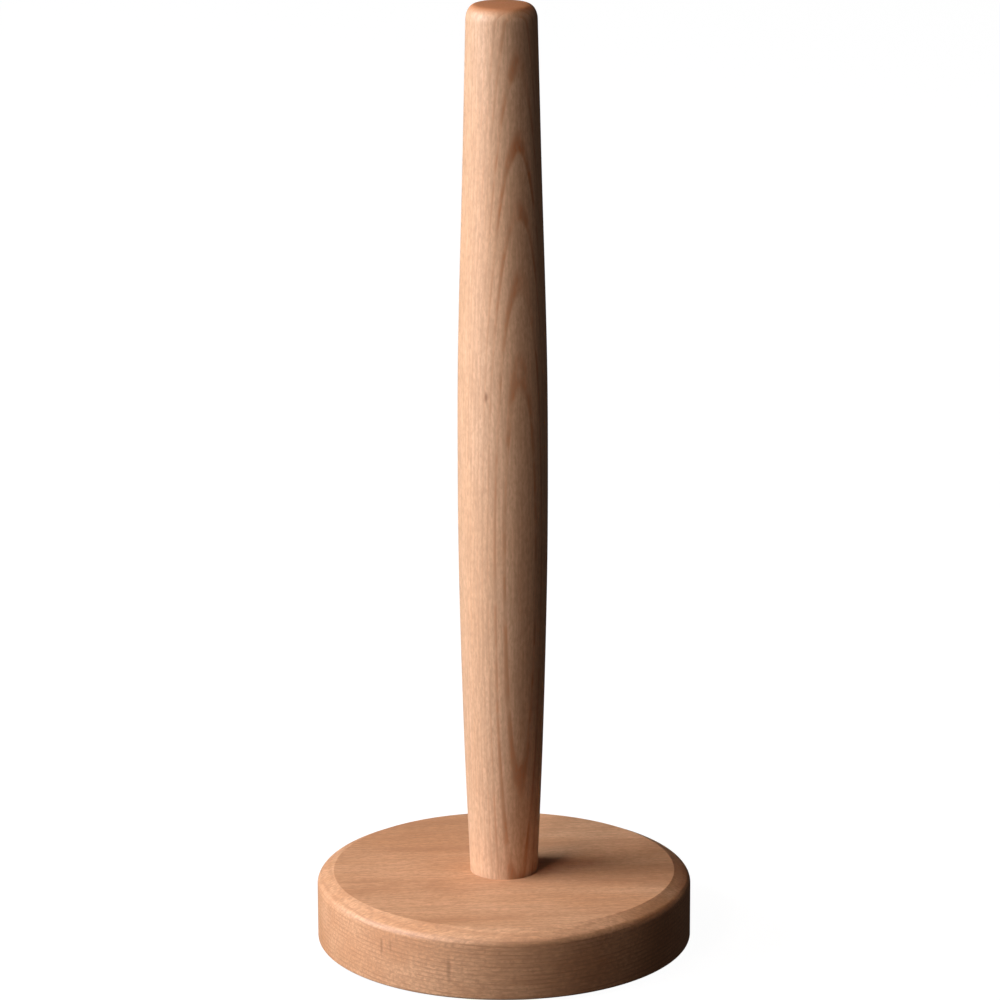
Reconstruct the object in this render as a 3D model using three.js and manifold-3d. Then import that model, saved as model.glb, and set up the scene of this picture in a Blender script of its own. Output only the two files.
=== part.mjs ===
// Turned beech paper towel holder, knock-down.
//
// A barrel-tapered post stands in a shallow socket in the middle of a thick round base. One M6
// socket-head bolt comes up through the base from a counterbore in its underside and screws into a
// threaded insert in the foot of the post, so that it draws the post down into the socket. Four
// rubber pads stand in shallow recesses under the base.
//
// Millimetres, +Z up. The origin is on the surface that the holder stands on, on its axis.

import * as THREE from 'three';
import { mergeVertices } from 'three/addons/utils/BufferGeometryUtils.js';
import Module from 'manifold-3d';

// ---- driving dimensions ----

const OVERALL_HEIGHT = 330;
const CONTACT_GAP = 0.3; // air left between pieces that bear on each other

const PAD_COUNT = 4;
const PAD_DIAMETER = 12;
const PAD_THICKNESS = 2.5;
const PAD_PROUD = 1.5; // how far a pad lifts the base off the surface
const PAD_CIRCLE_RADIUS = 50;
const PAD_EDGE_RADIUS = 0.5;

const BASE_DIAMETER = 130;
const BASE_THICKNESS = 24;
const BASE_BEVEL_WIDTH = 3.9; // shallow bevel round the top face
const BASE_BEVEL_ANGLE = THREE.MathUtils.degToRad(25);
const BASE_SHOULDER_RADIUS = 3.1; // rounds the bevel into the rim
const BASE_ARRIS_RADIUS = 1; // softened lower edge
const SOCKET_DEPTH = 3; // the post's foot stands in this recess in the top of the base
const BOLT_HOLE_DIAMETER = 7;
const COUNTERBORE_DIAMETER = 20;
const COUNTERBORE_DEPTH = 11.5;

// Turned profile of the post: height above the top of the base, and diameter there.
const POST_STATIONS = [
  [0, 23.4],
  [50, 27.4],
  [105, 30.2],
  [145, 30.8],
  [185, 30.2],
  [250, 26.6],
  [300, 24.1],
];
const POST_END_HEIGHT = 5.2; // the round-over at the top is a quarter of an ellipse
const POST_END_WIDTH = 3.4;
const POST_CROWN = 0.3; // how far the end face domes up inside the round-over
const POST_FOOT_ARRIS = 0.5;
const POST_TIP_BORE_DIAMETER = 7;
const POST_BORE_DEPTH = 20;

const INSERT_DIAMETER = 11;
const INSERT_LENGTH = 15;
const INSERT_FLANGE_DIAMETER = 13.5;
const INSERT_FLANGE_THICKNESS = 1.2;
const INSERT_CHAMFER = 0.8;

const BOLT_DIAMETER = 6;
const BOLT_LENGTH = 30;
const BOLT_HEAD_DIAMETER = 10;
const BOLT_HEAD_HEIGHT = 6;
const BOLT_SOCKET_FLATS = 5;
const BOLT_SOCKET_DEPTH = 3.2;
const BOLT_TIP_CHAMFER = 0.8;
const BOLT_HEAD_CHAMFER = 0.5;

const WASHER_DIAMETER = 18;
const WASHER_HOLE_DIAMETER = 6.6; // in both washers
const WASHER_THICKNESS = 1.6;
const SPRING_WASHER_DIAMETER = 11.8;
const SPRING_WASHER_THICKNESS = 1.6;
const SPRING_WASHER_SLIT = 1;

const LARGE_SEGMENTS = 60;
const SMALL_SEGMENTS = 24;
const BARREL_STEPS = 18;

// ---- levels along the axis ----

const BASE_BOTTOM = PAD_PROUD;
const BASE_TOP = BASE_BOTTOM + BASE_THICKNESS;
const COUNTERBORE_CEILING = BASE_BOTTOM + COUNTERBORE_DEPTH;
const WASHER_BOTTOM = COUNTERBORE_CEILING - CONTACT_GAP - WASHER_THICKNESS;
const SPRING_WASHER_BOTTOM = WASHER_BOTTOM - CONTACT_GAP - SPRING_WASHER_THICKNESS;
const BOLT_SEAT = SPRING_WASHER_BOTTOM - CONTACT_GAP; // top of the bolt's head, under the washers
const SOCKET_FLOOR = BASE_TOP - SOCKET_DEPTH;
const POST_FOOT = SOCKET_FLOOR + CONTACT_GAP;
const POST_LENGTH = OVERALL_HEIGHT - POST_FOOT;
const SPIGOT_LENGTH = BASE_TOP - POST_FOOT; // straight stretch of the post inside the socket
const INSERT_CLEARANCE = CONTACT_GAP; // all round the insert in its bore

// ---- geometry helpers ----

const wasm = await Module();
wasm.setup();

// Points of an arc of a profile, in the plane of radius and height.
function arc(centreRadius, centreHeight, radius, fromAngle, toAngle, steps) {
  const points = [];
  for (let i = 0; i <= steps; i += 1) {
    const angle = THREE.MathUtils.lerp(fromAngle, toAngle, i / steps);
    points.push([centreRadius + radius * Math.cos(angle), centreHeight + radius * Math.sin(angle)]);
  }
  return points;
}

// Turns a profile of [radius, height] points about the Z axis.
function turned(profile, segments) {
  const points = profile.map(([radius, height]) => new THREE.Vector2(radius, height));
  const geometry = new THREE.LatheGeometry(points, segments);
  geometry.rotateX(Math.PI / 2);
  return geometry;
}

// A ring turned from a profile that closes on itself.
function turnedRing(profile, segments) {
  return turned([...profile, profile[0]], segments);
}

function disc(diameter, bottom, top, segments) {
  const radius = diameter / 2;
  return turned([[0, bottom], [radius, bottom], [radius, top], [0, top]], segments);
}

function ring(diameter, holeDiameter, bottom, top, segments) {
  const outer = diameter / 2;
  const inner = holeDiameter / 2;
  return turnedRing([[inner, bottom], [outer, bottom], [outer, top], [inner, top]], segments);
}

function toManifold(geometry) {
  const bare = geometry.clone();
  bare.deleteAttribute('normal');
  bare.deleteAttribute('uv');
  const merged = mergeVertices(bare);
  return new wasm.Manifold(new wasm.Mesh({
    numProp: 3,
    vertProperties: new Float32Array(merged.attributes.position.array),
    triVerts: new Uint32Array(merged.index.array),
  }));
}

function fromManifold(solid) {
  const mesh = solid.getMesh();
  const geometry = new THREE.BufferGeometry();
  geometry.setAttribute('position', new THREE.BufferAttribute(mesh.vertProperties, 3));
  geometry.setIndex(new THREE.BufferAttribute(mesh.triVerts, 1));
  geometry.computeVertexNormals();
  return geometry;
}

// Cuts each tool out of a geometry.
function cut(geometry, tools) {
  let solid = toManifold(geometry);
  for (const tool of tools) {
    solid = solid.subtract(toManifold(tool));
  }
  return fromManifold(solid);
}

function padPosition(index) {
  const angle = Math.PI / PAD_COUNT + (index * 2 * Math.PI) / PAD_COUNT;
  return new THREE.Vector2(Math.cos(angle), Math.sin(angle)).multiplyScalar(PAD_CIRCLE_RADIUS);
}

// ---- materials ----

const beechPost = new THREE.MeshStandardMaterial({ color: 0xcf9f7b, roughness: 0.55, metalness: 0 });
const beechBase = new THREE.MeshStandardMaterial({ color: 0xc48c6a, roughness: 0.55, metalness: 0 });
const zincSteel = new THREE.MeshStandardMaterial({ color: 0xb9bcc0, roughness: 0.35, metalness: 1 });
const yellowZinc = new THREE.MeshStandardMaterial({ color: 0xb89a58, roughness: 0.4, metalness: 1 });
const rubber = new THREE.MeshStandardMaterial({ color: 0x2b2b2d, roughness: 0.85, metalness: 0 });

// ---- sub-parts ----

const EDGE_OVERRUN = 1; // how far a cutting tool runs past the face that it cuts

function baseGeometry() {
  const radius = BASE_DIAMETER / 2;
  const bore = BOLT_HOLE_DIAMETER / 2;
  const counterbore = COUNTERBORE_DIAMETER / 2;
  const socket = POST_STATIONS[0][1] / 2 + CONTACT_GAP;
  // The shoulder's arc starts square to the bevel and ends level with the rim.
  const shoulderCentre = radius - BASE_SHOULDER_RADIUS;
  const shoulderStart = Math.PI / 2 - BASE_BEVEL_ANGLE;
  const bevelEnd = shoulderCentre + BASE_SHOULDER_RADIUS * Math.cos(shoulderStart);
  const bevelDrop = BASE_BEVEL_WIDTH * Math.tan(BASE_BEVEL_ANGLE);
  const shoulderHeight = BASE_TOP - bevelDrop - BASE_SHOULDER_RADIUS * Math.sin(shoulderStart);
  const profile = [
    [bore, COUNTERBORE_CEILING],
    [counterbore, COUNTERBORE_CEILING],
    [counterbore, BASE_BOTTOM],
    ...arc(radius - BASE_ARRIS_RADIUS, BASE_BOTTOM + BASE_ARRIS_RADIUS, BASE_ARRIS_RADIUS, -Math.PI / 2, 0, 3),
    ...arc(shoulderCentre, shoulderHeight, BASE_SHOULDER_RADIUS, 0, shoulderStart, 5),
    [bevelEnd - BASE_BEVEL_WIDTH, BASE_TOP],
    [socket, BASE_TOP],
    [socket, SOCKET_FLOOR],
    [bore, SOCKET_FLOOR],
  ];
  const recesses = [];
  for (let i = 0; i < PAD_COUNT; i += 1) {
    const recess = disc(
      PAD_DIAMETER + 2 * CONTACT_GAP,
      BASE_BOTTOM - EDGE_OVERRUN,
      PAD_THICKNESS + CONTACT_GAP,
      SMALL_SEGMENTS,
    );
    const centre = padPosition(i);
    recesses.push(recess.translate(centre.x, centre.y, 0));
  }
  return cut(turnedRing(profile, LARGE_SEGMENTS), recesses);
}

function padGeometry() {
  const radius = PAD_DIAMETER / 2;
  const inner = radius - PAD_EDGE_RADIUS;
  return turned([
    [0, 0],
    ...arc(inner, PAD_EDGE_RADIUS, PAD_EDGE_RADIUS, -Math.PI / 2, 0, 3),
    [radius, PAD_THICKNESS],
    [0, PAD_THICKNESS],
  ], SMALL_SEGMENTS);
}

function postGeometry() {
  const stations = POST_STATIONS.map(
    ([height, diameter]) => new THREE.Vector2(diameter / 2, SPIGOT_LENGTH + height),
  );
  const side = new THREE.SplineCurve(stations).getPoints(BARREL_STEPS).map((point) => [point.x, point.y]);
  const shoulder = POST_LENGTH - POST_END_HEIGHT - POST_CROWN; // where the round-over starts
  const barrel = side.filter(([, height]) => height < shoulder - 1);
  // The crown is a shallow dome that meets the round-over near the top of its curve.
  const crownEdge = Math.PI / 2 - 0.1;
  const endCentre = stations.at(-1).x - POST_END_WIDTH;
  const roundOver = arc(0, 0, 1, 0, crownEdge, 7).map(
    ([across, up]) => [endCentre + POST_END_WIDTH * across, shoulder + POST_END_HEIGHT * up],
  );
  const mouth = INSERT_FLANGE_DIAMETER / 2 + INSERT_CLEARANCE;
  const mouthDepth = INSERT_FLANGE_THICKNESS + INSERT_CLEARANCE;
  const insertBore = INSERT_DIAMETER / 2 + INSERT_CLEARANCE;
  const insertDepth = INSERT_LENGTH + 2 * INSERT_CLEARANCE;
  const tipBore = POST_TIP_BORE_DIAMETER / 2;
  return turned([
    [0, POST_BORE_DEPTH],
    [tipBore, POST_BORE_DEPTH],
    [tipBore, insertDepth],
    [insertBore, insertDepth],
    [insertBore, mouthDepth],
    [mouth, mouthDepth],
    [mouth, 0],
    [stations[0].x - POST_FOOT_ARRIS, 0],
    [stations[0].x, POST_FOOT_ARRIS],
    ...barrel,
    ...roundOver,
    [0, POST_LENGTH],
  ], LARGE_SEGMENTS);
}

function insertGeometry() {
  const outer = INSERT_DIAMETER / 2;
  const flange = INSERT_FLANGE_DIAMETER / 2;
  const inner = BOLT_DIAMETER / 2 + CONTACT_GAP;
  return turnedRing([
    [inner, 0],
    [flange, 0],
    [flange, INSERT_FLANGE_THICKNESS],
    [outer, INSERT_FLANGE_THICKNESS],
    [outer, INSERT_LENGTH - INSERT_CHAMFER],
    [outer - INSERT_CHAMFER, INSERT_LENGTH],
    [inner, INSERT_LENGTH],
  ], SMALL_SEGMENTS);
}

function boltGeometry() {
  const head = BOLT_HEAD_DIAMETER / 2;
  const shank = BOLT_DIAMETER / 2;
  const screw = turned([
    [0, -BOLT_HEAD_HEIGHT],
    [head - BOLT_HEAD_CHAMFER, -BOLT_HEAD_HEIGHT],
    [head, BOLT_HEAD_CHAMFER - BOLT_HEAD_HEIGHT],
    [head, 0],
    [shank, 0],
    [shank, BOLT_LENGTH - BOLT_TIP_CHAMFER],
    [shank - BOLT_TIP_CHAMFER, BOLT_LENGTH],
    [0, BOLT_LENGTH],
  ], SMALL_SEGMENTS);
  const acrossCorners = BOLT_SOCKET_FLATS / Math.cos(Math.PI / 6);
  const socket = disc(
    acrossCorners,
    -BOLT_HEAD_HEIGHT - EDGE_OVERRUN,
    BOLT_SOCKET_DEPTH - BOLT_HEAD_HEIGHT,
    6,
  );
  return cut(screw, [socket]);
}

function washerGeometry() {
  return ring(WASHER_DIAMETER, WASHER_HOLE_DIAMETER, 0, WASHER_THICKNESS, SMALL_SEGMENTS);
}

function springWasherGeometry() {
  const whole = ring(
    SPRING_WASHER_DIAMETER,
    WASHER_HOLE_DIAMETER,
    0,
    SPRING_WASHER_THICKNESS,
    SMALL_SEGMENTS,
  );
  const slit = new THREE.BoxGeometry(SPRING_WASHER_DIAMETER, SPRING_WASHER_SLIT, 3 * SPRING_WASHER_THICKNESS);
  slit.translate(SPRING_WASHER_DIAMETER / 2, 0, SPRING_WASHER_THICKNESS / 2);
  return cut(whole, [slit]);
}

// ---- assembly ----

function place(parent, name, geometry, material, height) {
  const mesh = new THREE.Mesh(geometry, material);
  mesh.name = name;
  mesh.position.z = height;
  parent.add(mesh);
  return mesh;
}

const standGroup = new THREE.Group();
place(standGroup, 'base', baseGeometry(), beechBase, 0);
place(standGroup, 'flat_washer', washerGeometry(), zincSteel, WASHER_BOTTOM);
place(standGroup, 'spring_washer', springWasherGeometry(), zincSteel, SPRING_WASHER_BOTTOM);
for (let i = 0; i < PAD_COUNT; i += 1) {
  const pad = place(standGroup, `foot_pad_${i + 1}`, padGeometry(), rubber, 0);
  const centre = padPosition(i);
  pad.position.x = centre.x;
  pad.position.y = centre.y;
}

const boltGroup = new THREE.Group();
boltGroup.position.z = BOLT_SEAT;
place(boltGroup, 'connector_bolt', boltGeometry(), zincSteel, 0);

const postGroup = new THREE.Group();
postGroup.position.z = POST_FOOT;
place(postGroup, 'post', postGeometry(), beechPost, 0);
place(postGroup, 'insert_nut', insertGeometry(), yellowZinc, 0);

const holder = new THREE.Group();
holder.add(standGroup, boltGroup, postGroup);

export default holder;
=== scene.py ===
"""Turned beech paper towel holder: the looks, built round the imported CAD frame.

The post, base, bolt, insert, washers and pads are fine meshes that stand for the CAD nodes.
All positions are in metres, in the frame's own axes, with +Z up and the camera on the -Y side.
"""

import math

import bpy
from mathutils import Matrix, Vector


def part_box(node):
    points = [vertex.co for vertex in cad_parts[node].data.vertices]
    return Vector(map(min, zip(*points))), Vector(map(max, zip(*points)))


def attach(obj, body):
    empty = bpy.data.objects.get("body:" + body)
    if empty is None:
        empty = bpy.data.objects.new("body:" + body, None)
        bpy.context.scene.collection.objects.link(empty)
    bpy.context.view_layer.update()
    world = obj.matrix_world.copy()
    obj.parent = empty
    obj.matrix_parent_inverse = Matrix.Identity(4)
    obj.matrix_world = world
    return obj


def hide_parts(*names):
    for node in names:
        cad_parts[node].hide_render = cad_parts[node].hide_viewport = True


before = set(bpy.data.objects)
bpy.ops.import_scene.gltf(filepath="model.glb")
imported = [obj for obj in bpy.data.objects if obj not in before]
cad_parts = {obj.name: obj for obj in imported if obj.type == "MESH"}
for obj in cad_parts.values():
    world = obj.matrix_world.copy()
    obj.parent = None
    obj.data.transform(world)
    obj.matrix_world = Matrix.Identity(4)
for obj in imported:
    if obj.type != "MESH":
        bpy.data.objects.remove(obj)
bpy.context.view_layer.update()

MM = 0.001
TAU = 2 * math.pi

# ---- sizes, from the frame where it has them ----

base_low, base_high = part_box("base")
post_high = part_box("post")[1]
bolt_low, bolt_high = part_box("connector_bolt")
insert_low, insert_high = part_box("insert_nut")
washer_low, washer_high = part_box("flat_washer")
spring_low, spring_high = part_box("spring_washer")
pads = [f"foot_pad_{i}" for i in range(1, 5)]

BASE_RADIUS = base_high[0]
BASE_BOTTOM = base_low[2]
BASE_TOP = base_high[2]
BEVEL_WIDTH = 3.9 * MM
BEVEL_ANGLE = math.radians(25)
SHOULDER_RADIUS = 3.1 * MM
LOWER_ARRIS = 0.9 * MM
TOP_ARRIS = 0.5 * MM  # the crisp edge between the flat top and the bevel, just eased
SOCKET_DEPTH = 3 * MM
SOCKET_PLAY = 0.04 * MM
SOCKET_EASE = 0.15 * MM
BOLT_HOLE_RADIUS = 3.5 * MM
COUNTERBORE_RADIUS = 10 * MM
COUNTERBORE_CEILING = washer_high[2] + 0.3 * MM

# The post's turned outline: height above the top of the base, and diameter.
POST_STATIONS = ((0, 23.4), (50, 27.4), (105, 30.2), (145, 30.8), (185, 30.2), (250, 26.6), (300, 24.1))
POST_TOP = post_high[2]
POST_FOOT = BASE_TOP - SOCKET_DEPTH + 0.05 * MM
POST_FOOT_ARRIS = 0.4 * MM
POST_END_HEIGHT = 5.2 * MM  # the round-over at the top is a quarter of an ellipse
POST_END_WIDTH = 3.4 * MM
POST_CROWN = 0.3 * MM
PILOT_RADIUS = 3.4 * MM  # the drilled hole above the insert, which clears the bolt
PILOT_DEPTH = 20 * MM
DRILL_POINT = 1.5 * MM
INSERT_BORE = 5.35 * MM

THREAD_PITCH = 1 * MM
THREAD_MAJOR = 2.97 * MM
THREAD_MINOR = 2.42 * MM
HEAD_RADIUS = bolt_high[0]
HEAD_HEIGHT = 6 * MM
HEX_FLATS = 5 * MM
HEX_DEPTH = 3.2 * MM
KNURLS = 60
KNURL_DEPTH = 0.07 * MM
INSERT_BODY = 4.4 * MM  # root of the insert's coarse outer thread
INSERT_FLANGE = 1.2 * MM
COARSE_PITCH = 2.5 * MM
COARSE_DEPTH = 0.9 * MM
PAD_RADIUS = 6 * MM
PAD_PLAY = 0.15 * MM


# ---- mesh helpers ----


def arc(centre_radius, centre_height, radius, start, end, steps):
    """Points of an arc in the plane of radius and height, from one angle to another in degrees."""
    points = []
    for i in range(steps + 1):
        angle = math.radians(start + (end - start) * i / steps)
        points.append((centre_radius + radius * math.cos(angle), centre_height + radius * math.sin(angle)))
    return points


def make_object(name, vertices, faces, smooth_degrees=25):
    """A mesh object with smooth shading that breaks at edges sharper than an angle."""
    mesh = bpy.data.meshes.new(name)
    mesh.from_pydata(vertices, [], faces)
    mesh.validate()
    finish_mesh(mesh, smooth_degrees)
    thing = bpy.data.objects.new(name, mesh)
    bpy.context.scene.collection.objects.link(thing)
    return thing


def finish_mesh(mesh, smooth_degrees):
    """Smooth shading, with sharp edges where faces meet at more than an angle."""
    mesh.polygons.foreach_set("use_smooth", [True] * len(mesh.polygons))
    mesh.set_sharp_from_angle(angle=math.radians(smooth_degrees))
    mesh.update()


def loft(name, rings, segments, closed=False, smooth_degrees=25):
    """Joins rings about the Z axis. A ring is a function of angle giving (radius, height); a ring of
    radius 0 is a single point. A closed loft joins its last ring to its first."""
    vertices = []
    starts = []
    for ring in rings:
        radius, height = ring(0.0)
        if radius < 1e-9:
            starts.append((len(vertices), True))
            vertices.append((0.0, 0.0, height))
            continue
        starts.append((len(vertices), False))
        for k in range(segments):
            angle = TAU * k / segments
            radius, height = ring(angle)
            vertices.append((radius * math.cos(angle), radius * math.sin(angle), height))
    faces = []
    pairs = list(zip(starts, starts[1:]))
    if closed:
        pairs.append((starts[-1], starts[0]))
    for (a, a_point), (b, b_point) in pairs:
        for k in range(segments):
            n = (k + 1) % segments
            if a_point:
                faces.append((a, b + n, b + k))
            elif b_point:
                faces.append((a + k, a + n, b))
            else:
                faces.append((a + k, a + n, b + n, b + k))
    return make_object(name, vertices, faces, smooth_degrees)


def fixed_ring(radius, height):
    """A circle, for loft."""
    return lambda angle: (radius, height)


def turned(name, profile, segments, closed=False, smooth_degrees=25):
    """A solid of revolution from (radius, height) points, outside surface running upwards."""
    return loft(name, [fixed_ring(*point) for point in profile], segments, closed, smooth_degrees)


def spline_radius(stations, height):
    """Radius of the post at a height above the base, by a Catmull-Rom curve through the stations."""
    last = len(stations) - 2
    i = max(k for k in range(last + 1) if k == 0 or stations[k][0] <= height)
    before = stations[max(i - 1, 0)]
    start = stations[i]
    end = stations[i + 1]
    after = stations[min(i + 2, last + 1)]
    t = (height - start[0]) / (end[0] - start[0])
    span = end[0] - start[0]
    slope_start = (end[1] - before[1]) / (end[0] - before[0]) * span
    slope_end = (after[1] - start[1]) / (after[0] - start[0]) * span
    cube = 2 * t**3 - 3 * t**2 + 1
    diameter = cube * start[1] + (1 - cube) * end[1]
    diameter += (t**3 - 2 * t**2 + t) * slope_start + (t**3 - t**2) * slope_end
    return diameter / 2


def apply_cuts(target, cutters, smooth_degrees=25):
    """Cuts each cutter out of the target's mesh and deletes the cutters."""
    for cutter in cutters:
        change = target.modifiers.new("cut", "BOOLEAN")
        change.operation = "DIFFERENCE"
        change.solver = "EXACT"
        change.object = cutter
    graph = bpy.context.evaluated_depsgraph_get()
    result = bpy.data.meshes.new_from_object(target.evaluated_get(graph))
    target.modifiers.clear()
    target.data = result
    finish_mesh(result, smooth_degrees)
    for cutter in cutters:
        bpy.data.objects.remove(cutter)


def bar(name, length, width, height):
    """A rectangular bar about the origin, to cut a slot with."""
    sides = (-0.5, 0.5)
    corners = [(x * length, y * width, z * height) for x in sides for y in sides for z in sides]
    faces = [(0, 1, 3, 2), (4, 6, 7, 5), (0, 4, 5, 1), (2, 3, 7, 6), (0, 2, 6, 4), (1, 5, 7, 3)]
    return make_object(name, corners, faces)


def moved(thing, x, y, z=0.0):
    """Shifts a piece's own mesh and gives the piece back."""
    thing.data.transform(Matrix.Translation((x, y, z)))
    return thing


# ---- pieces ----


def build_post():
    """The turned post, bored from below for the insert and the bolt's tip."""
    foot_radius = spline_radius(POST_STATIONS, 0) * MM
    shoulder = POST_TOP - POST_END_HEIGHT - POST_CROWN
    flange = insert_high[0] + 0.05 * MM
    pilot_top = POST_FOOT + PILOT_DEPTH
    bore_top = insert_high[2] + 0.3 * MM
    flange_top = insert_low[2] + INSERT_FLANGE + 0.1 * MM
    profile = [
        (0, pilot_top),
        (PILOT_RADIUS, pilot_top - DRILL_POINT),
        (PILOT_RADIUS, bore_top),
        (INSERT_BORE, bore_top),
        (INSERT_BORE, flange_top),
        (flange, flange_top),
        (flange, POST_FOOT),
        (foot_radius - POST_FOOT_ARRIS, POST_FOOT),
    ]
    profile += arc(foot_radius - POST_FOOT_ARRIS, POST_FOOT + POST_FOOT_ARRIS, POST_FOOT_ARRIS, -60, 0, 2)
    profile.append((foot_radius, BASE_TOP))
    rows = 120
    reach = (shoulder - BASE_TOP) / MM
    for i in range(1, rows + 1):
        height = reach * i / rows
        profile.append((spline_radius(POST_STATIONS, height) * MM, BASE_TOP + height * MM))
    neck = profile[-1][0]
    round_steps = 15  # the last one would be level, and the crown takes its place
    for i in range(1, round_steps):
        angle = math.radians(90 * i / round_steps)
        radius = neck - POST_END_WIDTH * (1 - math.cos(angle))
        profile.append((radius, shoulder + POST_END_HEIGHT * math.sin(angle)))
    edge_radius, edge_height = profile[-1]
    crown_steps = 8
    for i in range(1, crown_steps + 1):
        share = 1 - i / crown_steps
        profile.append((edge_radius * share, POST_TOP - (POST_TOP - edge_height) * share**2))
    return turned("turned_post", profile, 160)


def build_base():
    """The turned base: bevelled and rounded above, with a socket, a counterbore and pad recesses."""
    foot_radius = spline_radius(POST_STATIONS, 0) * MM
    socket = foot_radius + SOCKET_PLAY
    floor = BASE_TOP - SOCKET_DEPTH
    bevel = math.degrees(BEVEL_ANGLE)
    centre = BASE_RADIUS - SHOULDER_RADIUS
    bevel_end = centre + SHOULDER_RADIUS * math.sin(BEVEL_ANGLE)
    bevel_low = BASE_TOP - BEVEL_WIDTH * math.tan(BEVEL_ANGLE)
    shoulder_height = bevel_low - SHOULDER_RADIUS * math.cos(BEVEL_ANGLE)
    inner_edge = bevel_end - BEVEL_WIDTH
    ease = TOP_ARRIS * math.tan(BEVEL_ANGLE / 2)
    profile = [
        (BOLT_HOLE_RADIUS, COUNTERBORE_CEILING),
        (COUNTERBORE_RADIUS, COUNTERBORE_CEILING),
        (COUNTERBORE_RADIUS, BASE_BOTTOM + 0.5 * MM),
        (COUNTERBORE_RADIUS + 0.5 * MM, BASE_BOTTOM),
    ]
    profile += arc(BASE_RADIUS - LOWER_ARRIS, BASE_BOTTOM + LOWER_ARRIS, LOWER_ARRIS, -90, 0, 6)
    profile += arc(centre, shoulder_height, SHOULDER_RADIUS, 0, 90 - bevel, 14)
    profile += arc(inner_edge - ease, BASE_TOP - TOP_ARRIS, TOP_ARRIS, 90 - bevel, 90, 4)
    profile += [
        (40 * MM, BASE_TOP),
        (20 * MM, BASE_TOP),
        (socket + SOCKET_EASE, BASE_TOP),
        (socket, BASE_TOP - SOCKET_EASE),
        (socket, floor),
        (BOLT_HOLE_RADIUS, floor),
    ]
    base = turned("turned_base", profile, 256, closed=True)
    cutters = []
    for pad in pads:
        low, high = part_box(pad)
        middle = (Vector(low) + Vector(high)) / 2
        hole = PAD_RADIUS + PAD_PLAY
        depth = high[2] + 0.1 * MM
        outline = [(0, 0), (hole, 0), (hole, depth), (0, depth)]
        cutters.append(moved(turned(f"cut_{pad}", outline, 64), middle.x, middle.y))
    apply_cuts(base, cutters)
    return base


def thread_radius(height, angle, major, minor):
    """Radius of a right-hand 60-degree thread with a flat crest and root, in step with its mate."""
    phase = (height / THREAD_PITCH - angle / TAU) % 1.0
    slope = abs(phase - 0.5) * 2  # 1 at the root, 0 at the crest
    flat_crest, flank = 0.12, 0.66  # shares of half a pitch; the rest is the flat root
    depth = min(max((slope - flat_crest) / flank, 0), 1)
    return major + (minor - major) * depth


def thread_rings(low, high, lead_in, major, minor, rows_per_turn=12):
    """Rings of an external thread; the tip is chamfered and the thread fades into the shank."""
    rings = []
    rows = int((high - low) / THREAD_PITCH * rows_per_turn)
    for i in range(rows + 1):
        height = low + (high - low) * i / rows

        def ring(angle, height=height):
            radius = thread_radius(height, angle, major, minor)
            fade = min((height - low) / (1.5 * THREAD_PITCH), 1)
            radius = major + (radius - major) * fade
            return min(radius, major - lead_in + max(high - height, 0)), height

        rings.append(ring)
    return rings


def hexagon(flats):
    """Radius of a hexagon's outline at an angle."""

    def radius(angle):
        turn = (angle + math.pi / 6) % (math.pi / 3) - math.pi / 6
        return flats / 2 / math.cos(turn)

    return radius


def build_bolt():
    """Socket-head screw with a knurled head below and its thread upwards."""
    head_bottom = bolt_low[2]
    seat = head_bottom + HEAD_HEIGHT
    tip = bolt_high[2]
    socket = hexagon(HEX_FLATS)
    socket_top = head_bottom + HEX_DEPTH
    shank = THREAD_MAJOR

    def knurl(radius, height):
        return lambda angle: (radius - KNURL_DEPTH * abs((angle * KNURLS / TAU * 2) % 2 - 1), height)

    rings = [
        fixed_ring(0, socket_top + 0.9 * MM),
        lambda angle: (socket(angle) * 0.97, socket_top),
        lambda angle: (socket(angle), socket_top - 0.05 * MM),
        lambda angle: (socket(angle), head_bottom + 0.35 * MM),
        fixed_ring(HEX_FLATS * 0.6, head_bottom + 0.02 * MM),
        fixed_ring(HEX_FLATS * 0.62, head_bottom),
        fixed_ring(HEAD_RADIUS - 0.7 * MM, head_bottom),
        fixed_ring(HEAD_RADIUS - 0.35 * MM, head_bottom + 0.12 * MM),
        fixed_ring(HEAD_RADIUS - 0.1 * MM, head_bottom + 0.4 * MM),
        knurl(HEAD_RADIUS, head_bottom + 0.75 * MM),
        knurl(HEAD_RADIUS, seat - 0.5 * MM),
        fixed_ring(HEAD_RADIUS - 0.1 * MM, seat - 0.25 * MM),
        fixed_ring(HEAD_RADIUS - 0.3 * MM, seat),
        fixed_ring(shank + 0.25 * MM, seat),
        fixed_ring(shank + 0.06 * MM, seat + 0.08 * MM),
        fixed_ring(shank, seat + 0.25 * MM),
        fixed_ring(shank, seat + 5.5 * MM),
    ]
    rings += thread_rings(seat + 6 * MM, tip, 0.8 * MM, THREAD_MAJOR, THREAD_MINOR)
    rings.append(fixed_ring(0, tip))
    return loft("threaded_bolt", rings, 240, smooth_degrees=35)


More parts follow.
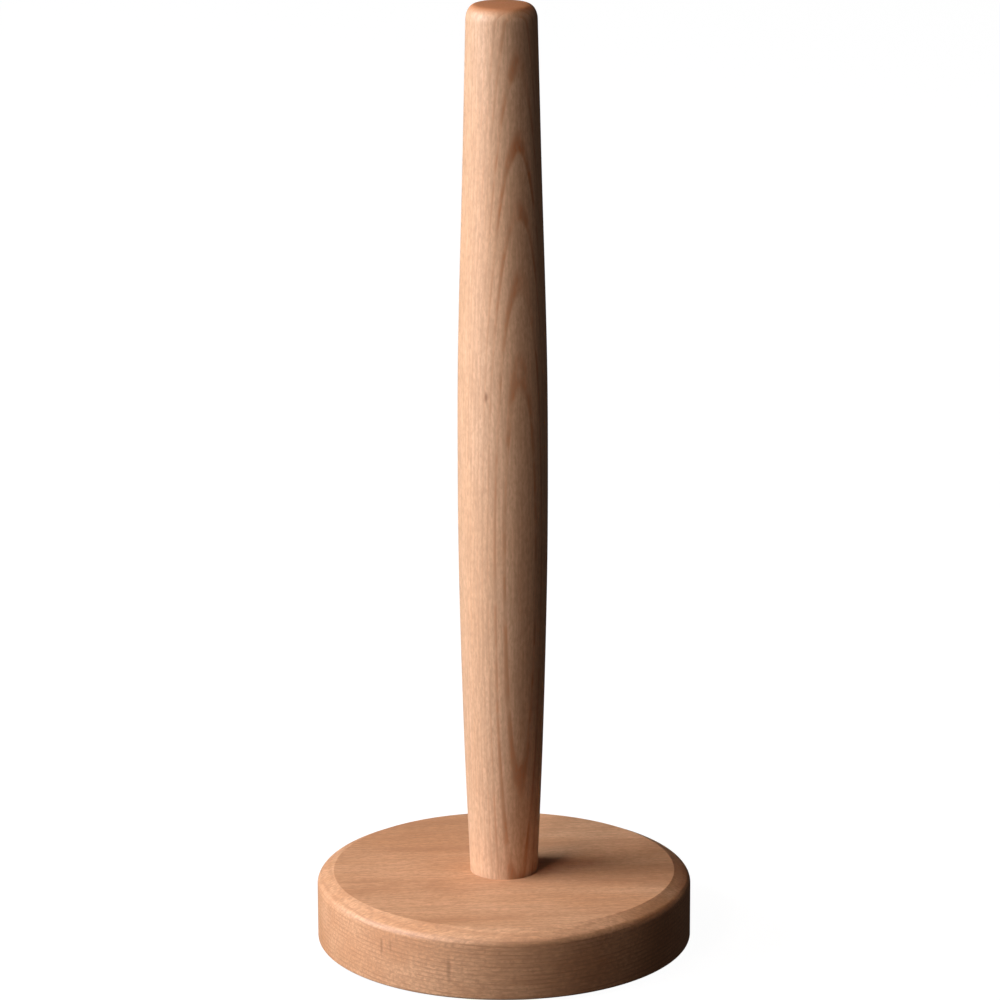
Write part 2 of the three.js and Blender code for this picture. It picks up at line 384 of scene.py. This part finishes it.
def build_insert():
    """Flanged insert: coarse wood thread outside, machine thread inside, two driving slots."""
    low, high = insert_low[2], insert_high[2]
    flange = insert_high[0]
    ease = 0.2 * MM
    play = 0.1 * MM

    def coarse(height):
        def ring(angle):
            phase = ((height - low) / COARSE_PITCH - angle / TAU) % 1.0
            crest = max(0, 1 - abs(phase - 0.5) * 5)
            end = min(max((high - height) / (2 * MM), 0), 1)
            return INSERT_BODY + COARSE_DEPTH * crest * end, height

        return ring

    rings = [
        fixed_ring(3.25 * MM, low),
        fixed_ring(flange - ease, low),
        fixed_ring(flange, low + ease),
        fixed_ring(flange, low + INSERT_FLANGE - ease),
        fixed_ring(flange - ease, low + INSERT_FLANGE),
        fixed_ring(INSERT_BODY, low + INSERT_FLANGE),
    ]
    rows = 90
    for i in range(1, rows + 1):
        rings.append(coarse(low + 1.3 * MM + (high - low - 1.6 * MM) * i / rows))
    rings.append(fixed_ring(4.1 * MM, high))
    rings.append(fixed_ring(3.15 * MM, high))
    rows = 168  # nearly twelve in each turn of the inner thread
    for i in range(rows + 1):
        height = high - 0.3 * MM - (high - low - 0.7 * MM) * i / rows

        def inner(angle, height=height):
            return thread_radius(height, angle, THREAD_MAJOR + play, THREAD_MINOR + play), height

        rings.append(inner)
    insert = loft("threaded_insert", rings, 96, closed=True, smooth_degrees=35)
    slot = moved(bar("cut_slot", 4 * flange, 1.6 * MM, 1.6 * MM), 0, 0, low)
    apply_cuts(insert, [slot], smooth_degrees=35)
    return insert


def build_flat_washer():
    """A stamped washer, rounder on the side that the punch went in."""
    low, high = washer_low[2], washer_high[2]
    outer, inner = washer_high[0], 3.3 * MM
    burr = 0.2 * MM
    profile = [(inner, low + burr), (inner + burr, low)]
    profile += arc(outer - 2 * burr, low + 2 * burr, 2 * burr, -90, 0, 4)
    profile += arc(outer - burr, high - burr, burr, 0, 90, 2)
    profile += [(inner + burr, high), (inner, high - burr)]
    return turned("flat_washer_stamped", profile, 128, closed=True)


def build_spring_washer():
    """A split ring of square wire, its ends a little apart in height."""
    low, high = spring_low[2], spring_high[2]
    inner, outer = 3.2 * MM, 5.85 * MM
    middle = (low + high) / 2
    half_width, half_height = (outer - inner) / 2, (high - low) / 2 - 0.08 * MM
    corner = 0.2 * MM
    section = []
    for sx, sz, start in ((1, -1, -90), (1, 1, 0), (-1, 1, 90), (-1, -1, 180)):
        section += arc(sx * (half_width - corner), sz * (half_height - corner), corner, start, start + 90, 3)
    steps = 110
    gap = math.radians(8)
    rise = 0.07 * MM
    vertices, faces = [], []
    for i in range(steps + 1):
        share = i / steps
        angle = gap / 2 + (TAU - gap) * share
        lift = rise * (2 * share - 1)
        for x, z in section:
            radius = (inner + outer) / 2 + x
            vertices.append((radius * math.cos(angle), radius * math.sin(angle), middle + z + lift))
    count = len(section)
    for i in range(steps):
        for k in range(count):
            n = (k + 1) % count
            faces.append((i * count + k, i * count + n, (i + 1) * count + n, (i + 1) * count + k))
    faces.append(tuple(reversed(range(count))))
    faces.append(tuple(steps * count + k for k in range(count)))
    faces = [tuple(reversed(face)) for face in faces]
    return make_object("spring_washer_split", vertices, faces)


def build_pad(node):
    """A moulded rubber disc with fine grip rings round its underside."""
    low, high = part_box(node)
    middle = (Vector(low) + Vector(high)) / 2
    groove = 0.18 * MM
    profile = [(0, 0)]
    for radius in (1.2, 2.2, 3.2, 4.2):
        profile += [(radius * MM, 0), ((radius + 0.2) * MM, groove), ((radius + 0.4) * MM, groove)]
        profile.append(((radius + 0.6) * MM, 0))
    profile += arc(PAD_RADIUS - 0.5 * MM, 0.5 * MM, 0.5 * MM, -90, 0, 5)
    profile += arc(PAD_RADIUS - 0.2 * MM, high[2] - 0.2 * MM, 0.2 * MM, 0, 90, 2)
    profile.append((0, high[2]))
    return moved(turned(f"{node}_moulded", profile, 96), middle.x, middle.y)


# ---- material helpers ----


class Shader:
    """Adds nodes to a material's tree and links them by socket."""

    def __init__(self, name):
        self.material = bpy.data.materials.new(name)
        self.material.use_nodes = True
        self.tree = self.material.node_tree
        self.surface = self.tree.nodes["Principled BSDF"]

    def node(self, kind, sockets=None, **settings):
        made = self.tree.nodes.new(kind)
        for key, value in settings.items():
            setattr(made, key, value)
        for socket, value in (sockets or {}).items():
            self.feed(made.inputs[socket], value)
        return made

    def feed(self, socket, value):
        if isinstance(value, bpy.types.NodeSocket):
            self.tree.links.new(value, socket)
        else:
            socket.default_value = value

    def math(self, operation, *values):
        return self.node("ShaderNodeMath", dict(enumerate(values)), operation=operation).outputs[0]

    def vector(self, operation, *values):
        return self.node("ShaderNodeVectorMath", dict(enumerate(values)), operation=operation).outputs[0]

    def scaled(self, vector, scale):
        return self.vector("MULTIPLY", vector, scale)

    def grain(self, wood, across, up):
        """Wood coordinates for noise of a size in millimetres across the tree and up it."""
        return self.scaled(wood, (1 / across, 1 / across, 1 / up))

    def combine(self, x, y, z):
        return self.node("ShaderNodeCombineXYZ", {0: x, 1: y, 2: z}).outputs[0]

    def separate(self, vector):
        return self.node("ShaderNodeSeparateXYZ", {0: vector}).outputs

    def noise(self, vector, detail=2.0, roughness=0.5):
        sockets = {"Vector": vector, "Scale": 1.0, "Detail": detail, "Roughness": roughness}
        return self.node("ShaderNodeTexNoise", sockets).outputs["Fac"]

    def swing(self, vector, amount, detail=2.0):
        """Noise about zero, reaching roughly plus or minus an amount."""
        return self.math("MULTIPLY", self.math("SUBTRACT", self.noise(vector, detail), 0.5), 2 * amount)

    def step(self, value, low, high, out_low=0.0, out_high=1.0):
        """A smooth change of value from one level to another."""
        sockets = {0: value, 1: low, 2: high, 3: out_low, 4: out_high}
        made = self.node("ShaderNodeMapRange", interpolation_type="SMOOTHSTEP")
        for index, level in sockets.items():
            self.feed(made.inputs[index], level)
        return made.outputs[0]

    def mix(self, share, first, second, blend="MIX"):
        made = self.node("ShaderNodeMix", data_type="RGBA", blend_type=blend)
        self.feed(made.inputs[0], share)
        self.feed(made.inputs[6], first)
        self.feed(made.inputs[7], second)
        return made.outputs[2]

    def millimetres(self):
        """The place on the piece, in its own axes."""
        metres = self.node("ShaderNodeTexCoord").outputs["Object"]
        return self.scaled(metres, (1 / MM, 1 / MM, 1 / MM))

    def hypotenuse(self, x, y):
        squares = self.math("ADD", self.math("MULTIPLY", x, x), self.math("MULTIPLY", y, y))
        return self.math("SQRT", squares)

    def bump(self, height, strength, distance):
        made = self.node("ShaderNodeBump", {"Height": height, "Strength": strength, "Distance": distance})
        self.feed(self.surface.inputs["Normal"], made.outputs[0])

    def facing(self, direction, low, high):
        """How squarely the surface faces along or against a direction of the object, from 0 to 1."""
        normal = self.node("ShaderNodeTexCoord").outputs["Normal"]
        dot = self.node("ShaderNodeVectorMath", {0: normal, 1: direction}, operation="DOT_PRODUCT")
        return self.step(self.math("ABSOLUTE", dot.outputs["Value"]), low, high)


def colour(red, green, blue):
    return (red, green, blue, 1.0)


def darker(tone, share):
    return colour(*(share * level for level in tone))


def grain_axes(outward, along):
    """Rows of the turn from object axes to wood axes: across the rings, round them, and up the tree."""
    length = Vector(along).normalized()
    across = Vector(outward)
    across = (across - across.dot(length) * length).normalized()
    return Matrix((across, length.cross(across), length))


def beech(name, outward, along, pith, bend, ring_width, phase, wander, lines, ends, ray, tones, marks=()):
    """Steamed beech, as a solid texture of the tree that the piece was cut from. Sizes in millimetres.

    outward: direction from the pith to the piece; along: direction up the tree.
    pith: place of the object's origin from the pith (across, round).
    bend: the trunk bends towards the piece by the last number between two heights up the tree.
    phase: moves the rings by a share of a ring. wander: how far they stray from true circles.
    lines: strength of the ring lines on faces square to the rings and on faces along them.
    ends: how much darker end grain is. ray: length of the ray flecks out from the pith and up the tree.
    tones: plain, latewood, fleck and rosy colours.
    marks: small dark natural marks as (centre, half sizes, strength)."""
    s = Shader(name)
    place = s.millimetres()
    turn = grain_axes(outward, along).to_euler("XYZ")
    wood = s.node(
        "ShaderNodeMapping",
        {"Vector": place, "Location": (*pith, 0.0), "Rotation": turn},
    ).outputs[0]
    broad = s.grain(wood, across=40, up=190)
    stray = s.combine(s.swing(broad, wander), s.swing(s.vector("ADD", broad, (7.3, 2.1, 4.4)), wander), 0.0)
    wavy = s.vector("ADD", wood, stray)
    x, y, z = s.separate(wavy)
    x = s.math("SUBTRACT", x, s.step(z, bend[0], bend[1], 0.0, bend[2]))
    ripple = s.swing(s.grain(wood, across=6, up=50), 0.16 * ring_width)
    radius = s.math("ADD", s.hypotenuse(x, y), ripple)
    start_radius = math.hypot(*pith)
    around = s.math("MULTIPLY", s.math("ARCTAN2", y, x), start_radius)

    # growth rings: a thin warm latewood band ends each year
    years = s.math("ADD", s.math("DIVIDE", radius, ring_width), phase - start_radius / ring_width)
    uneven = s.swing(s.combine(s.math("MULTIPLY", years, 0.6), 3.7, 0.0), 0.12, 0.0)
    years = s.math("ADD", years, uneven)
    season = s.math("FRACT", years)
    band = s.math("MULTIPLY", s.step(season, 0.55, 0.82), s.step(season, 0.90, 1.0, 1.0, 0.0))
    swell = s.step(season, 0.0, 0.9)
    year = s.node("ShaderNodeTexWhiteNoise", {"W": s.math("FLOOR", years)}, noise_dimensions="1D").outputs[0]
    patchy = s.step(s.noise(s.grain(wood, across=5, up=12), 3.0), 0.38, 0.58, 0.2, 1.0)
    line = s.math("MULTIPLY", s.math("MULTIPLY", band, s.step(year, 0.0, 1.0, 0.55, 1.0)), patchy)
    flat_cut = s.facing(Vector(outward).normalized(), 0.6, 0.97)
    line = s.math("MULTIPLY", line, s.step(flat_cut, 0.0, 1.0, *lines))

    # cloudy drift of colour, streaks along the grain and short fine dashes
    drift = s.noise(s.grain(wood, across=17, up=70), 3.0)
    streak = s.noise(s.grain(wavy, across=0.8, up=15))
    dashes = s.noise(s.grain(wavy, across=0.75, up=2.1), roughness=0.6)
    pores = s.noise(s.grain(wavy, across=0.2, up=2.4), 1.0)

    # ray flecks: thin blades that run out from the pith
    def flecks(width, share, low, high, offset):
        """Blades of a width round the tree, with a share of the ray's length; offset picks others."""
        cells = s.combine(
            s.math("DIVIDE", around, width),
            s.math("DIVIDE", radius, ray[0] * share),
            s.math("DIVIDE", z, ray[1] * share),
        )
        cells = s.vector("ADD", cells, (offset, 1.7 * offset, 2.3 * offset))
        cell = s.node("ShaderNodeTexVoronoi", {"Vector": cells, "Scale": 1.0, "Randomness": 1.0})
        size = s.node("ShaderNodeTexWhiteNoise", {"Vector": cell.outputs["Color"]}).outputs[0]
        reach = s.math("MULTIPLY", cell.outputs["Distance"], s.step(size, 0.0, 1.0, 1.0, 2.4))
        return s.step(reach, low, high, 1.0, 0.0)

    bold = flecks(1.0, 1.0, 0.12, 0.42, 3.1)
    fine = flecks(0.55, 0.55, 0.12, 0.5, 9.4)
    fleck = s.math("MAXIMUM", s.math("MULTIPLY", bold, 0.8), s.math("MULTIPLY", fine, 0.6))

    plain, late_tone, fleck_tone, rosy = tones
    tint = s.mix(s.step(drift, 0.34, 0.66), colour(*plain), colour(*rosy))
    tint = s.mix(s.math("MULTIPLY", swell, 0.10), tint, colour(*late_tone))
    tint = s.mix(line, tint, colour(*late_tone))
    tint = s.mix(s.step(streak, 0.36, 0.66, 0.0, 0.42), tint, colour(*fleck_tone))
    tint = s.mix(s.step(dashes, 0.34, 0.68, 0.0, 0.45), tint, colour(*fleck_tone))
    tint = s.mix(s.step(pores, 0.45, 0.8, 0.0, 0.2), tint, colour(*fleck_tone))
    tint = s.mix(s.math("MULTIPLY", fleck, 0.6), tint, colour(*fleck_tone))

    # the ends of the grain drink more oil and turn darker and redder
    end = s.facing(Vector(along).normalized(), 0.3, 0.95)
    tint = s.mix(s.math("MULTIPLY", end, ends), tint, colour(*late_tone))

    for centre, half_sizes, strength in marks:
        offset = s.vector("SUBTRACT", place, centre)
        offset = s.scaled(offset, tuple(1 / size for size in half_sizes))
        reach = s.node("ShaderNodeVectorMath", {0: offset}, operation="LENGTH").outputs["Value"]
        dark = s.math("MULTIPLY", s.step(reach, 0.1, 1.0, 1.0, 0.0), strength)
        tint = s.mix(dark, tint, darker(late_tone, 0.45))
    s.feed(s.surface.inputs["Base Color"], tint)

    sheen = s.math("ADD", s.step(dashes, 0.3, 0.8, 0.48, 0.6), s.math("MULTIPLY", fleck, -0.06))
    s.feed(s.surface.inputs["Roughness"], sheen)
    s.surface.inputs["Specular IOR Level"].default_value = 0.45
    relief = s.math("ADD", s.math("MULTIPLY", dashes, -0.5), s.math("MULTIPLY", fleck, -0.35))
    relief = s.math("ADD", relief, s.math("MULTIPLY", pores, -0.3))
    s.bump(relief, strength=0.4, distance=0.08 * MM)
    return s.material


def plated_metal(name, tone, stain, roughness):
    """Zinc-plated steel: fine turning lines round the axis, and uneven passivation."""
    s = Shader(name)
    place = s.millimetres()
    x, y, z = s.separate(place)
    radius = s.hypotenuse(x, y)
    rings = s.noise(s.combine(s.math("MULTIPLY", radius, 9.0), s.math("MULTIPLY", z, 9.0), 0.0))
    cloud = s.noise(s.scaled(place, (0.35, 0.35, 0.35)), 3.0)
    speck = s.noise(s.scaled(place, (6.0, 6.0, 6.0)))
    tint = s.mix(s.step(cloud, 0.3, 0.7, 0.0, 0.6), colour(*tone), colour(*stain))
    tint = s.mix(s.step(speck, 0.6, 0.8, 0.0, 0.35), tint, darker(tone, 0.6))
    s.feed(s.surface.inputs["Base Color"], tint)
    s.surface.inputs["Metallic"].default_value = 1.0
    s.feed(s.surface.inputs["Roughness"], s.step(rings, 0.3, 0.7, roughness, roughness + 0.14))
    s.bump(rings, strength=0.2, distance=0.03 * MM)
    return s.material


def moulded_rubber():
    """Matte black rubber with a fine grain and a little dust on it."""
    s = Shader("foot_rubber")
    place = s.millimetres()
    grain = s.noise(s.scaled(place, (5.0, 5.0, 5.0)), 3.0)
    dust = s.noise(s.scaled(place, (0.4, 0.4, 0.4)), 4.0)
    black, dusty = colour(0.022, 0.022, 0.024), colour(0.06, 0.057, 0.052)
    tint = s.mix(s.step(dust, 0.45, 0.75, 0.0, 0.5), black, dusty)
    s.feed(s.surface.inputs["Base Color"], tint)
    s.feed(s.surface.inputs["Roughness"], s.step(grain, 0.3, 0.7, 0.72, 0.9))
    s.bump(grain, strength=0.4, distance=0.05 * MM)
    return s.material


# ---- camera, lights and floor ----

CAMERA_PLACE = (-1.0 * MM, -1604.5 * MM, 603.5 * MM)
CAMERA_PITCH = math.radians(15.493)
CAMERA_ROLL = math.radians(-0.17)
CAMERA_LENS = 175.55
CAMERA_SENSOR = 36.0
COOL = (0.925, 1.0, 1.075)
WARM = (1.0, 0.87, 0.79)
AMBER = (1.0, 0.84, 0.68)


def set_camera():
    """A long lens from in front and a little above, with a very slight roll."""
    data = bpy.data.cameras.new("camera")
    data.lens = CAMERA_LENS
    data.sensor_width = CAMERA_SENSOR
    data.clip_start = 0.05
    data.clip_end = 50
    camera = bpy.data.objects.new("camera", data)
    turn = Matrix.Rotation(math.pi / 2 - CAMERA_PITCH, 4, "X") @ Matrix.Rotation(CAMERA_ROLL, 4, "Z")
    camera.matrix_world = Matrix.Translation(CAMERA_PLACE) @ turn
    bpy.context.scene.collection.objects.link(camera)
    bpy.context.scene.camera = camera


def soft_box(name, azimuth, elevation, distance, aim, length, width, lean, spread, power, tint):
    """A soft box facing the holder's axis at a height. Azimuth is measured from the camera's side towards
    its left; lean is how steeply the long side climbs as it goes back; spread is narrow where the box
    has a grid. Angles are in degrees."""
    data = bpy.data.lights.new(name, "AREA")
    data.shape = "RECTANGLE"
    data.size = length
    data.size_y = width
    data.spread = math.radians(spread)
    data.energy = power
    data.color = tint
    light = bpy.data.objects.new(name, data)
    turn, rise, climb = (math.radians(angle) for angle in (azimuth, elevation, lean))
    away = Vector((-math.sin(turn) * math.cos(rise), -math.cos(turn) * math.cos(rise), math.sin(rise)))
    back = Vector((-math.cos(turn), math.sin(turn), 0))
    long_side = math.cos(climb) * back - math.sin(climb) * away.cross(back).normalized()
    axes = Matrix((long_side, away.cross(long_side), away)).transposed()
    light.matrix_world = Matrix.Translation(Vector((0, 0, aim)) + distance * away) @ axes.to_4x4()
    bpy.context.scene.collection.objects.link(light)


def set_world(seen, ambient):
    """A white surround where the camera sees it, and a faint fill of the shadows."""
    world = bpy.data.worlds.new("studio")
    world.use_nodes = True
    tree = world.node_tree
    tree.nodes.clear()
    out = tree.nodes.new("ShaderNodeOutputWorld")
    path = tree.nodes.new("ShaderNodeLightPath")
    mix = tree.nodes.new("ShaderNodeMixShader")
    fill = tree.nodes.new("ShaderNodeBackground")
    white = tree.nodes.new("ShaderNodeBackground")
    fill.inputs[0].default_value = colour(*WARM)
    fill.inputs[1].default_value = ambient
    white.inputs[0].default_value = colour(1, 1, 1)
    white.inputs[1].default_value = seen
    tree.links.new(path.outputs["Is Camera Ray"], mix.inputs[0])
    tree.links.new(fill.outputs[0], mix.inputs[1])
    tree.links.new(white.outputs[0], mix.inputs[2])
    tree.links.new(mix.outputs[0], out.inputs[0])
    bpy.context.scene.world = world


def set_floor():
    """A white floor that shows almost no shadow and throws no light back on the holder."""
    radius, thickness = 4, 1 * MM
    floor = turned("floor", [(0, -thickness), (radius, -thickness), (radius, 0), (0, 0)], 96)
    s = Shader("pale_floor")
    s.surface.inputs["Base Color"].default_value = colour(0.10, 0.10, 0.10)
    s.surface.inputs["Roughness"].default_value = 1.0
    s.surface.inputs["Specular IOR Level"].default_value = 0.0
    s.surface.inputs["Emission Color"].default_value = colour(1, 1, 1)
    s.surface.inputs["Emission Strength"].default_value = 0.975
    floor.data.materials.append(s.material)
    floor.visible_diffuse = False
    floor.visible_glossy = False


def set_stage():
    view = bpy.context.scene.view_settings
    view.view_transform = "Standard"
    view.look = "None"
    set_camera()
    set_world(seen=1.0, ambient=0.03)
    soft_box("key", 77, 23, 2.0, 0.12, length=1.7, width=0.65, lean=22, spread=180, power=67, tint=COOL)
    soft_box("top", 80, 62, 2.0, 0.12, length=0.8, width=0.8, lean=0, spread=180, power=7.0, tint=AMBER)
    soft_box("fill", 35, 34, 1.2, 0.185, length=0.3, width=0.3, lean=0, spread=24, power=0.165, tint=WARM)
    soft_box("edge", -55, 20, 1.2, 0.225, length=0.3, width=0.3, lean=0, spread=22, power=0.0125, tint=WARM)
    set_floor()


# ---- assembly ----

POST_TONES = ((0.70, 0.435, 0.28), (0.47, 0.165, 0.06), (0.45, 0.25, 0.145), (0.69, 0.41, 0.25))
BASE_TONES = ((0.82, 0.46, 0.265), (0.46, 0.18, 0.08), (0.46, 0.22, 0.115), (0.70, 0.35, 0.18))


def on_rim(azimuth, height):
    """A point of the base's rim, in object millimetres, at an azimuth in degrees to the camera's right."""
    turn = math.radians(azimuth)
    radius = BASE_RADIUS / MM
    return (radius * math.sin(turn), -radius * math.cos(turn), height)


def on_post(azimuth, height):
    """A point of the post's side, in object millimetres."""
    turn = math.radians(azimuth)
    radius = spline_radius(POST_STATIONS, height - BASE_TOP / MM)
    return (radius * math.sin(turn), -radius * math.cos(turn), height)


def dress(piece, node, body, material):
    """Gives a piece its material, and its place in the frame."""
    piece.data.materials.clear()
    piece.data.materials.append(material)
    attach(piece, body)
    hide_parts(node)


set_stage()

post_wood = beech(
    "beech_post",
    outward=(0.407, -0.913, -0.013),
    along=(0.0053, -0.0119, 1.0),
    pith=(72.0, 0.0),
    bend=(215.0, 355.0, 1.4),
    ring_width=1.3,
    phase=0.27,
    wander=0.3,
    lines=(0.22, 1.0),
    ends=0.8,
    ray=(14.0, 4.2),
    tones=POST_TONES,
    marks=[(on_post(-21.5, 198.5), (0.9, 0.9, 2.6), 0.8)],
)
base_wood = beech(
    "beech_base",
    outward=(0.0, 0.03, 1.0),
    along=(1.0, 0.10, 0.0),
    pith=(420.0, 0.0),
    bend=(-65.0, 65.0, 0.0),
    ring_width=1.5,
    phase=0.0,
    wander=0.5,
    lines=(0.65, 0.3),
    ends=0.12,
    ray=(6.0, 2.6),
    tones=BASE_TONES,
    marks=[
        (on_rim(-16.8, 12.0), (1.1, 1.1, 7.0), 0.42),
        (on_rim(-39.9, 15.5), (0.9, 0.9, 4.6), 0.45),
        (on_rim(-36.4, 16.5), (0.8, 0.8, 3.6), 0.35),
    ],
)
bright_zinc = plated_metal("bright_zinc", (0.62, 0.63, 0.65), (0.5, 0.52, 0.56), 0.28)
yellow_zinc = plated_metal("yellow_zinc", (0.62, 0.5, 0.26), (0.52, 0.44, 0.3), 0.32)
rubber = moulded_rubber()

dress(build_post(), "post", "upright", post_wood)
dress(build_base(), "base", "stand", base_wood)
dress(build_bolt(), "connector_bolt", "bolt", bright_zinc)
dress(build_insert(), "insert_nut", "upright", yellow_zinc)
dress(build_flat_washer(), "flat_washer", "stand", bright_zinc)
dress(build_spring_washer(), "spring_washer", "stand", bright_zinc)
for pad in pads:
    dress(build_pad(pad), pad, "stand", rubber)
